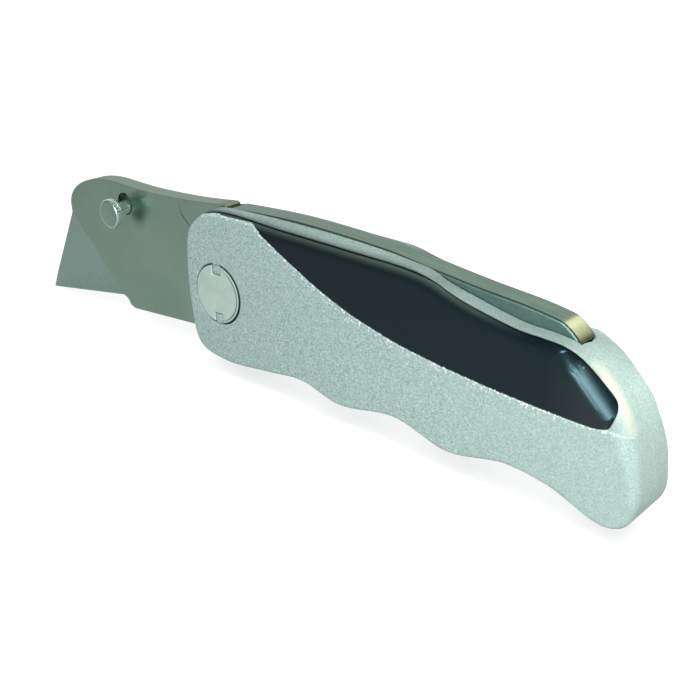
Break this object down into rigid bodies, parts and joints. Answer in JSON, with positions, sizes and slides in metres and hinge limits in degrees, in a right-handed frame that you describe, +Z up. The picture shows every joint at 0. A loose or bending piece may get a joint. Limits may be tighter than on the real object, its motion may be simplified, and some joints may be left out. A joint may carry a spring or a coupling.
{
  "type": "folding utility knife",
  "caption": "Folding lock-back utility knife with cast handle halves, glossy inlays, a steel blade carrier and a blade release button, shown open.",
  "frame": {"origin": "centre of the pivot bolt's flat near face", "axes": "+X along the handle from the pivot to the butt, +Y across the thickness to the far side, +Z up to the spine; the open blade points to -X"},
  "size_m": [0.1588, 0.0125, 0.037],
  "materials": {
    "cast_silver": "silver metallic paint with fine bright flakes over a casting, semi-gloss",
    "gloss_black": "smooth glossy black moulding",
    "plated_disc": "plated steel, satin",
    "satin_steel": "satin ground steel, lightly scratched",
    "blade_steel": "ground and oiled blade steel with a finely ground edge",
    "button_steel": "turned and knurled, nickel plated",
    "spring_steel": "plain spring steel, dull",
    "brass": "plain brass, dull"
  },
  "bodies": {
    "handle": {"near_casting": "cast_silver", "far_casting": "cast_silver", "near_inlay": "gloss_black", "far_inlay": "gloss_black", "pivot_bolt": "plated_disc", "pivot_screw": "plated_disc", "near_washer": "brass", "far_washer": "brass", "stop_pin": "satin_steel", "lock_pin": "satin_steel", "lock_spring": "spring_steel", "butt_screw_1": "plated_disc", "butt_screw_2": "plated_disc"},
    "carrier": {"blade_carrier": "satin_steel", "utility_blade": "blade_steel", "blade_stop": "spring_steel", "button_spring": "spring_steel", "spring_rivet": "satin_steel"},
    "lock_bar": {"lock_bar": "satin_steel"},
    "button": {"release_button": "button_steel", "latch_plate": "spring_steel"}
  },
  "joints": [
    {"name": "blade_fold", "type": "hinge", "parent": "handle", "child": "carrier", "pos_m": [0, 0.0059, 0], "axis": [0, -1, 0], "range_deg": [0, 167]},
    {"name": "lock_rocker", "type": "hinge", "parent": "handle", "child": "lock_bar", "pos_m": [0.038, 0.0059, 0.0154], "axis": [0, 1, 0], "range_deg": [0, 4], "stiffness_Nm_per_rad": 4, "springref_deg": -3.44, "deforming": ["lock_spring"]},
    {"name": "button_press", "type": "slide", "parent": "carrier", "child": "button", "axis": [0, 1, 0], "range_m": [0, 0.0013], "stiffness_N_per_m": 2000, "springref_m": -0.0015, "deforming": ["button_spring"]}
  ]
}
